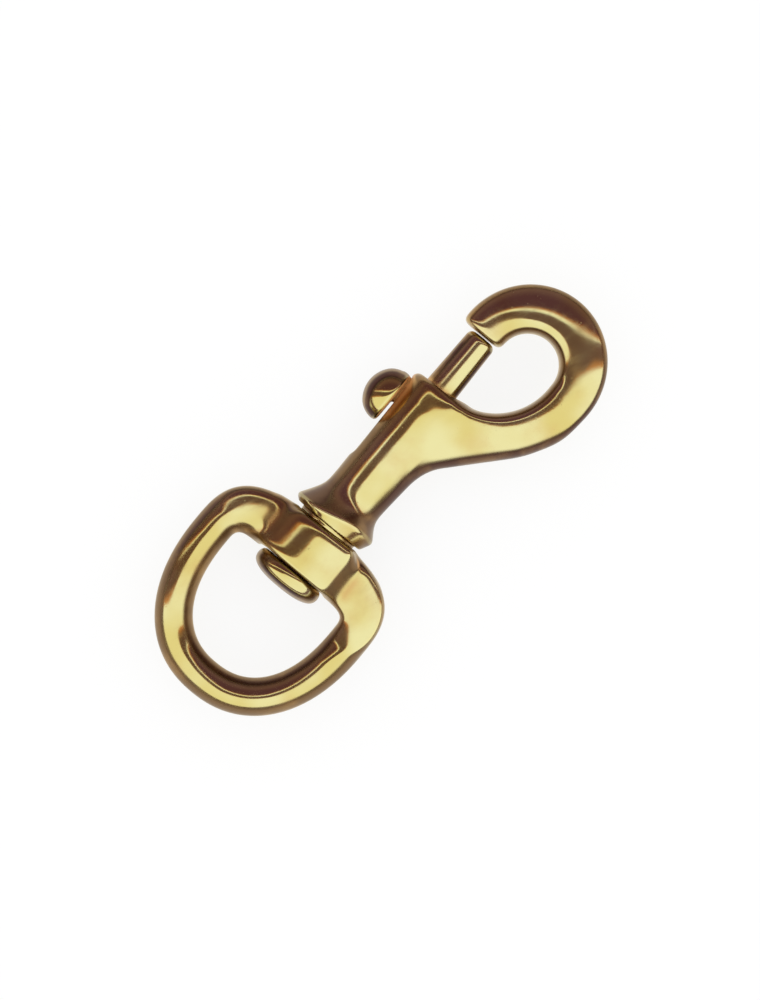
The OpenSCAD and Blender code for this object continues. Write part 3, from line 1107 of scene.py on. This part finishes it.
@dataclass
class SwivelEye:
    """The egg-shaped loop with its thick crossbar, which turns on the pin."""

    step: float = 0.16
    low: Place = (-30.6, -15.6, -6.3)
    high: Place = (0.6, 15.6, 6.3)
    widest_x: float = -11.05
    hole_aft: float = 13.45
    hole_fore: float = 3.15
    hole_half: float = 9.5
    rim_aft: float = 18.8
    rim_fore: float = 10.5
    rim_half: float = 14.85
    hole_powers: Point = (2.3, 5.0)
    rim_powers: Point = (2.2, 3.05)
    rail_half: float = 2.7
    hub_half: float = 5.6
    hub_r: float = 8.4
    hub_flat_r: float = 30.0
    hub_slope: float = 43.0
    hub_foot: float = 7.6
    hub_mid: float = -4.225
    hub_long: float = 3.675
    hub_edge: float = 2.0
    hub_taper: Point = (1.6, 0.8)
    seat_in: float = -7.75
    seat_out: float = -0.85
    bore_r: float = 3.05
    head_room: float = 5.65
    collar_room: float = 4.9
    fillet: float = 1.5
    foot_fillet: float = -0.2
    cut_edge: float = 0.3
    crest: float = 0.5
    crest_fore: float = 0.27
    crest_aft: float = 0.07
    ridge: float = 0.05
    ridge_power: float = 1.65
    bar_power: float = 4.0
    # dark_shade is the strength of the painted dark shade on upturned flanks.
    dark_shade: float = 0.8

    def outline(self, aft: float, fore: float, half: float, powers: Point) -> Array:
        """Draws one closed edge of the loop.

        Args:
            aft: Reach to the rear of the widest place.
            fore: Reach towards the barrel.
            half: Half width.
            powers: How square the outline is, aft and fore.

        Returns:
            Points of the edge, run against the clock.
        """
        t = np.linspace(0, 1, 90)
        quarter = np.pi / 2 * t**1.7 / (t**1.7 + (1 - t) ** 1.7)
        aft_run, fore_run = (
            np.stack([reach * np.cos(quarter) ** (2 / power), half * np.sin(quarter) ** (2 / power)], 1)
            for reach, power in zip((-aft, fore), powers))
        upper = np.vstack([fore_run, aft_run[::-1][1:]])
        lower = upper[::-1][1:] * [1, -1]
        return np.vstack([upper, lower]) + [self.widest_x, 0]

    def hub_field(self, y: Array, high: Array) -> Array:
        """Works out the hub across the crossbar, round on one side and flat with a steep end on the other.

        Args:
            y: Places along the crossbar.
            high: Heights above or below its middle.

        Returns:
            Distances, negative inside.
        """
        bulge = np.where(y > 0, self.hub_r, self.hub_flat_r)
        crown = np.hypot(y, high + bulge - self.hub_half) - bulge
        slope = math.radians(self.hub_slope)
        steep = (-y - self.hub_foot) * math.sin(slope) + (high - self.rail_half) * math.cos(slope)
        return soft_max(crown, steep, 0.5)

    def loop_field(self, block: Block) -> Array:
        """Works out the loop, ridged round its rear and square in the crossbar.

        Args:
            block: Samples to work on.

        Returns:
            Distances, negative inside.
        """
        x, y, z = block.axes()
        px, py = np.meshgrid(x, y, indexing="ij")
        hole, _ = rail_distance(self.outline(self.hole_aft, self.hole_fore, self.hole_half, self.hole_powers), px, py)
        rim, _ = rail_distance(self.outline(self.rim_aft, self.rim_fore, self.rim_half, self.rim_powers), px, py)
        width = np.maximum(rim - hole, 1.0)
        corner = easing(rising(px, -15, -8) * rising(py, -5, -9), 0, 1)
        aft = rising(px, -15, -23) * rising(py, 3, -3)
        crest = (self.crest + self.crest_fore * corner + self.crest_aft * aft) * width
        across = np.where(-hole < crest, (-hole - crest) / crest, (-hole - crest) / (width - crest))
        fore = easing(px - 4.5 * rising(py, -2, 4), -12.5, -7)
        power = (self.ridge_power + (self.bar_power - self.ridge_power) * fore)[:, :, None]
        away = (np.hypot(across, self.ridge) - self.ridge) / (math.hypot(1, self.ridge) - self.ridge)
        high = np.abs(z)[None, None, :] / self.rail_half
        ring = (away[:, :, None] ** power + high**power) ** (1 / power) - 1
        return true_distance(ring, block.step)

    def build(self) -> bpy.types.Object:
        """Builds the loop with its hub and the pin's seat.

        Returns:
            The loop as one mesh, with fillets where the hub rises from the crossbar.
        """
        block = Block(self.low, self.high, self.step)
        x, y, z = block.axes()
        ahead = (x - self.hub_mid)[:, None]
        taper = self.hub_taper[0] * easing(y, -4.5, -7.6) + self.hub_taper[1] * easing(y, 3.5, 6.5)
        along = np.maximum(ahead + taper, -ahead)[:, :, None] - self.hub_long
        hub = soft_max(self.hub_field(y[None, :, None], np.abs(z)[None, None, :]), along, self.hub_edge)
        fillet = (self.fillet + self.foot_fillet * rising(y, -3, -6))[None, :, None]
        body = soft_min(self.loop_field(block), hub, fillet)
        cut = block.turned(np.array([
            [self.seat_in - 3.3, 0], [self.seat_in - 3.3, self.head_room], [self.seat_in, self.head_room],
            [self.seat_in, self.bore_r], [self.seat_out, self.bore_r], [self.seat_out, self.collar_room],
            [self.seat_out + 2, self.collar_room], [self.seat_out + 2, 0]]))
        skin = block.skin(soft_max(body, -cut, self.cut_edge))
        piece = mesh_object("swivel_eye_loop", skin)
        # Painted dark shade on the flanks that turn towards the picture's top.
        keep(piece.data, "dark_shade", self.dark_shade * turned_up(skin.normals) * rising(skin.flank, 0.5, 0.38))
        return piece


@dataclass
class SlideBolt:
    """The round bolt and the thumb knob that is pressed into it."""

    knob_step: float = 0.09
    rear_x: float = 17.6
    bolt_r: float = 2.4
    mouth_x: float = 24.2
    tip_r: float = 2.2
    tip_x: float = 33.4
    tip_round: float = 0.9
    knob_x: float = 19.05
    knob_y: float = 4.3
    knob_h: float = 4.2
    dome_r: float = 4.37
    knob_r: float = 4.30
    neck_from: float = 18.75
    neck_to: float = 22.85
    neck_half: float = 1.1
    neck_fillet: float = 0.7
    base_round: float = 1.2
    dome_round: float = 1.9
    seat_gap: float = 0.01
    chamfer: float = 0.3
    reflection_in: float = 0.6
    # reflection_in and reflection_out place painted warm reflection where the bolt leaves the mouth.
    reflection_out: float = 1.4
    knob_low: Place = (14.2, -0.4, -4.8)
    knob_high: Place = (23.9, 9.0, 4.8)

    def build_bolt(self) -> bpy.types.Object:
        """Turns the bolt, with a rounded tip and with painted warm reflection where it leaves the mouth.

        Returns:
            The bolt.
        """
        tip = arc((self.tip_x - self.tip_round, self.tip_r - self.tip_round), self.tip_round, 90, 0, 10)
        taper = np.linspace([self.mouth_x + 0.3, self.bolt_r], tip[0], 24, endpoint=False)
        guide = np.linspace([self.rear_x + self.chamfer, self.bolt_r], taper[0], 6, endpoint=False)
        rear = [[self.rear_x, 0], [self.rear_x, self.bolt_r / 2], [self.rear_x, self.bolt_r - self.chamfer]]
        face = [[self.tip_x, self.bolt_r / 2], [self.tip_x, self.bolt_r / 4], [self.tip_x, 0]]
        warm_reflected = (self.mouth_x - self.reflection_in, self.mouth_x + self.reflection_out)
        return lathe_object("slide_bolt", np.vstack([rear, guide, taper, tip, face]), warm_reflected)

    def build_knob(self) -> bpy.types.Object:
        """Builds the domed knob and its oblong neck.

        Returns:
            Both as one mesh, with painted warm reflection under the dome.
        """
        block = Block(self.knob_low, self.knob_high, self.knob_step)
        x, y, z = block.axes()
        px, py, pz = x[:, None, None], y[None, :, None], z[None, None, :]
        middle = self.knob_y + self.knob_h - self.dome_r
        reach = np.hypot(px - self.knob_x, pz)
        dome = np.hypot(reach, py - middle) - self.dome_r
        base = soft_max(self.knob_y - py, reach - self.knob_r, self.base_round)
        inside = np.clip(x, self.neck_from + self.neck_half, self.neck_to - self.neck_half)[:, None, None]
        neck = np.maximum(np.hypot(px - inside, pz) - self.neck_half, py - self.knob_y - 1.0)
        knob = soft_min(soft_max(dome, base, self.dome_round), neck, self.neck_fillet)
        seat = np.hypot(py, pz) - self.bolt_r - self.seat_gap
        skin = block.skin(np.maximum(knob, -seat))
        # Painted warm reflection under the dome: bend is pushed below zero there.
        under = rising(skin.points[:, 1] - self.knob_y, 0.5, 0.2)
        return mesh_object("thumb_knob_dome", replace(
            skin, bend=skin.bend * (1 - under) - under, flank=upright_shade(skin.normals)))


@dataclass
class ReturnSpring:
    """The coil spring that shuts the bolt, hidden in the barrel."""

    start_x: float = 4.65
    end_x: float = 17.55
    coil_d: float = 4.3
    wire_d: float = 0.4
    turns: int = 8
    turn_steps: int = 40
    wire_sides: int = 12
    closing: float = 1.05
    keep: float = 0.3

    def build(self) -> bpy.types.Object:
        """Winds the spring with one closed turn at each end.

        Returns:
            The spring.
        """
        steps, around = self.turn_steps * self.turns, self.wire_sides
        turn = np.linspace(0, self.turns, steps + 1)
        close = self.closing * self.wire_d
        run = self.end_x - self.start_x - self.wire_d - 2 * close
        rise = rising(turn, 1, self.turns - 1)
        ends = np.minimum(turn, 1) + np.maximum(turn - self.turns + 1, 0)
        x = self.start_x + self.wire_d / 2 + close * ends + run * rise
        wire = np.linspace(0, 2 * np.pi, around, endpoint=False)
        reach = (self.coil_d - self.wire_d) / 2 - self.wire_d / 2 * np.cos(wire)
        angle = 2 * np.pi * turn[:, None]
        points = np.stack([x[:, None] + self.wire_d / 2 * np.sin(wire) + 0 * angle,
                           reach * np.cos(angle), reach * np.sin(angle)], 2).reshape(-1, 3)
        ends = [tuple(range(around - 1, -1, -1)), tuple(range(steps * around, (steps + 1) * around))]
        mesh = smooth_mesh("return_spring", points, ring_faces(steps + 1, around) + ends)
        mesh.set_sharp_from_angle(angle=math.radians(50))
        return linked("return_spring", mesh)

    def let_squash(self, piece: bpy.types.Object) -> None:
        """Gives the spring its own copy of its mesh."""
        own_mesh(piece)


@dataclass
class SwivelPin:
    """The headed pin that holds the eye to the barrel."""

    head_x: float = -7.9
    head_r: float = 5.25
    head_h: float = 3.1
    dome_power: float = 2.6
    bead: float = 1.0
    seat_r: float = 4.5
    journal_r: float = 2.9
    collar_x: float = -0.7
    shank_r: float = 2.54
    end_x: float = 4.6
    chamfer: float = 0.3

    def build(self) -> bpy.types.Object:
        """Turns the pin, with a domed head that is rounded underneath.

        Returns:
            The pin.
        """
        turn = np.radians(np.linspace(0, 90, 34))
        power = 2 / self.dome_power
        dome = np.stack([self.head_x - self.bead - (self.head_h - self.bead) * np.maximum(np.cos(turn), 0) ** power,
                         self.head_r * np.sin(turn) ** power], 1)
        turn = np.radians(np.linspace(8, 90, 10))
        under = np.stack([self.head_x - self.bead * (1 - np.sin(turn)),
                          self.seat_r + (self.head_r - self.seat_r) * np.cos(turn)], 1)
        rest = [[self.head_x, self.journal_r], [self.collar_x, self.journal_r],
                [self.collar_x, self.shank_r], [self.end_x - self.chamfer, self.shank_r],
                [self.end_x, self.shank_r - self.chamfer], [self.end_x, 0]]
        return lathe_object("swivel_pin_headed", np.vstack([dome, under, rest]))


@dataclass
class Studio:
    """Camera over the table, pale floor, white surround and dark flags.

    Directions towards the flags are shares of 1 to the picture's right, to its top and upwards.
    """

    aim: Place = (-0.000822, -0.001663, 0.00615)
    view_height: float = 0.138
    lens: float = 150.0
    sensor: float = 36.0
    floor_reach: float = 4.0
    floor_plain: float = 0.9
    floor_shaded: float = 0.18
    floor_glow: float = 0.83
    far: float = 0.3
    dark: Colour = (0.10, 0.042, 0.07)
    near: Colour = (0.14, 0.082, 0.085)
    warm: Colour = (0.62, 0.26, 0.11)
    low: Colour = (0.17, 0.095, 0.11)
    edge: float = 0.02
    strip: float = 0.347
    strip_half: float = 0.036
    strip_taper: float = 0.8
    strip_slant: float = -0.0425
    near_fade: Point = (25.0, 8.0)
    far_fade: Point = (14.0, 2.0)
    horizon: float = 0.72
    wall_deg: float = 13.0

    def camera(self) -> None:
        """Sets the camera straight above the part, turned as in the photograph."""
        data = bpy.data.cameras.new("camera")
        data.lens = self.lens
        data.sensor_width = self.sensor
        data.clip_start = 0.01
        camera = linked("camera", data)
        high = self.aim[2] + self.lens / self.sensor * self.view_height
        camera.matrix_world = Matrix((
            (PICTURE_RIGHT[0], PICTURE_UP[0], 0, self.aim[0]), (PICTURE_RIGHT[1], PICTURE_UP[1], 0, self.aim[1]),
            (0, 0, 1, high), (0, 0, 0, 1)))
        bpy.context.scene.camera = camera

    def floor(self) -> None:
        """Lays the pale floor, which keeps the part's shadow."""
        mesh = bpy.data.meshes.new("floor")
        reach = self.floor_reach
        corners = [(-reach, -reach, 0), (reach, -reach, 0), (reach, reach, 0), (-reach, reach, 0)]
        mesh.from_pydata(corners, [], [(0, 1, 2, 3)])
        material, nodes = new_material("pale_floor")
        path = nodes.add("LightPath").outputs
        bounced = nodes.math("MAXIMUM", path["Is Glossy Ray"], path["Is Transmission Ray"])
        seen = nodes.math("MAXIMUM", path["Is Camera Ray"], bounced)
        plain, shaded = (nodes.add("BsdfDiffuse", {"Color": (grey, grey, grey, 1)}).outputs[0]
                         for grey in (self.floor_plain, self.floor_shaded))
        glow = nodes.add("Emission", {"Color": (*[self.floor_glow] * 3, 1), "Strength": 1.0}).outputs[0]
        topped = nodes.add("AddShader", {0: shaded, 1: glow}).outputs[0]
        surface = nodes.add("MixShader", {0: seen, 1: plain, 2: topped})
        nodes.add("OutputMaterial", {0: surface.outputs[0]})
        mesh.materials.append(material)
        linked("floor", mesh)

    def surround(self) -> None:
        """Lights the table from a white surround."""
        world = bpy.data.worlds.new("white_surround")
        bpy.context.scene.world = world
        world.use_nodes = True
        nodes = Nodes(world.node_tree)
        glow = nodes.add("Background", {"Color": (1, 1, 1, 1), "Strength": 1.0})
        nodes.add("OutputWorld", {0: glow.outputs[0]})

    def cloth(self, name: str, tone: Colour, fade: ClothFade | None = None) -> bpy.types.Material:
        """Makes the dark cloth of a flag.

        Args:
            name: Name of the cloth.
            tone: Colour of its middle.
            fade: Effect that gives it a warm edge and a brown end, where it has them.

        Returns:
            The cloth, which shines with its own colour so that no lamp changes it.
        """
        material, nodes = new_material(name)
        shade = nodes.add("Emission", {"Color": (*tone, 1), "Strength": 1.0})
        if fade:
            share = fade.place(nodes).outputs
            colour = nodes.mix(share["Middle"], (*self.warm, 1), (*tone, 1))
            nodes.feed(shade.inputs["Color"], nodes.mix(share["Horizon"], colour, (*self.low, 1)))
        nodes.add("OutputMaterial", {0: shade.outputs[0]})
        return material

    def hang(self, name: str, rows: Array, depth: Array, cloth: bpy.types.Material) -> None:
        """Hangs one flag round the table, out of the camera's sight.

        Args:
            name: Name of the flag.
            rows: Rows of directions, each row with as many points.
            depth: 0 at the flag's warm edge, 1 in its dark middle, 2 where it turns brown by the horizon.
            cloth: Its material.
        """
        count, across = rows.shape[:2]
        turn = np.array([[*PICTURE_RIGHT, 0], [*PICTURE_UP, 0], [0, 0, 1]])
        points = (rows.reshape(-1, 3) @ turn) * self.far
        faces = [(i * across + k, i * across + k + 1, (i + 1) * across + k + 1, (i + 1) * across + k)
                 for i in range(count - 1) for k in range(across - 1)]
        mesh = bpy.data.meshes.new(name)
        mesh.from_pydata(points.tolist(), [], faces)
        keep(mesh, "depth", depth.reshape(-1))
        mesh.materials.append(cloth)
        flag = linked(name, mesh)
        flag.visible_camera = False
        flag.visible_diffuse = False
        flag.visible_shadow = False

    def flags(self) -> None:
        """Hangs the two flags over the picture's top half, with a gap between them."""
        side = np.sin(np.radians(np.linspace(-88, 88, 61)))
        rim = np.sqrt(1 - side**2) * 0.998
        gap = self.strip + self.strip_slant * side
        half = self.strip_half * (1 - self.strip_taper * side**2)
        part = np.concatenate([np.linspace(0, 0.1, 8), np.linspace(0.12, 1, 24)])[:, None]
        fade = ClothFade()
        for name, start, stop, (deep, spread), tone in (
                ("near_flag", np.full_like(side, self.edge), gap - half, self.near_fade, self.near),
                ("far_flag", gap + half, rim, self.far_fade, self.dark)):
            stop = np.minimum(stop, rim)
            start = np.minimum(start, stop)
            level = start + (stop - start) * part
            high = np.sqrt(np.maximum(1 - level**2 - side**2, 0))
            wide = (1 + spread * np.maximum(np.abs(side) - 0.45, 0)) / deep
            depth = rising(level, start, start + wide) * (1 + rising(np.hypot(level, side), self.horizon, 1))
            rows = np.stack([np.broadcast_to(side, level.shape), level, high], 2)
            self.hang(name, rows, depth, self.cloth(name + "_cloth", tone, fade))

    def wall(self) -> None:
        """Stands the low dark wall round the table, just behind the flags."""
        around = np.radians(np.linspace(0, 360, 73))
        rise = np.radians([[0], [self.wall_deg / 2], [self.wall_deg]])
        rows = np.stack([np.cos(around) * np.cos(rise), np.sin(around) * np.cos(rise),
                         np.broadcast_to(np.sin(rise), (3, 73))], 2)
        self.hang("low_wall", rows * 1.01, np.ones((3, 73)), self.cloth("wall_cloth", self.low))

    def build(self) -> None:
        """Sets up the whole studio."""
        for step in (self.camera, self.floor, self.surround, self.flags, self.wall):
            step()


def main() -> None:
    """Builds the studio and the pieces in order."""
    logging.basicConfig(level=logging.INFO, format="%(name)s %(message)s")
    scene = bpy.context.scene
    scene.view_settings.view_transform = "Standard"
    Studio().build()
    effects = Effects(PolishMarks(), CastSkin(), TarnishAndShade())
    cast = BrassFinish("cast_polished_brass").make(effects)
    # On the turned pieces flank_shade is near black: painted dark reflection on their upright sides.
    turned = BrassFinish("turned_polished_brass", flank_shade=(0.075, 0.03, 0.02), flank_rim_shade=(0.32, 0.21, 0.10),
                         rim_from=0.46, rim_to=0.64, waves=0.03, pits=0.03, stretch=30.0).make(effects)
    steel = SteelFinish("spring_wire_steel").make(effects)

    fit(CastHook().build(), cast, "hook_body", Carrier.HOOK)
    fit(SwivelEye().build(), cast, "swivel_eye", Carrier.EYE)
    slide = SlideBolt()
    fit(slide.build_bolt(), turned, "bolt", Carrier.BOLT)
    fit(slide.build_knob(), turned, "thumb_knob", Carrier.BOLT)
    fit(SwivelPin().build(), turned, "swivel_pin", Carrier.HOOK)
    spring = ReturnSpring()
    coil = spring.build()
    fit(coil, steel, "bolt_spring", Carrier.HOOK)
    spring.let_squash(coil)


if __name__ == "__main__":
    main()
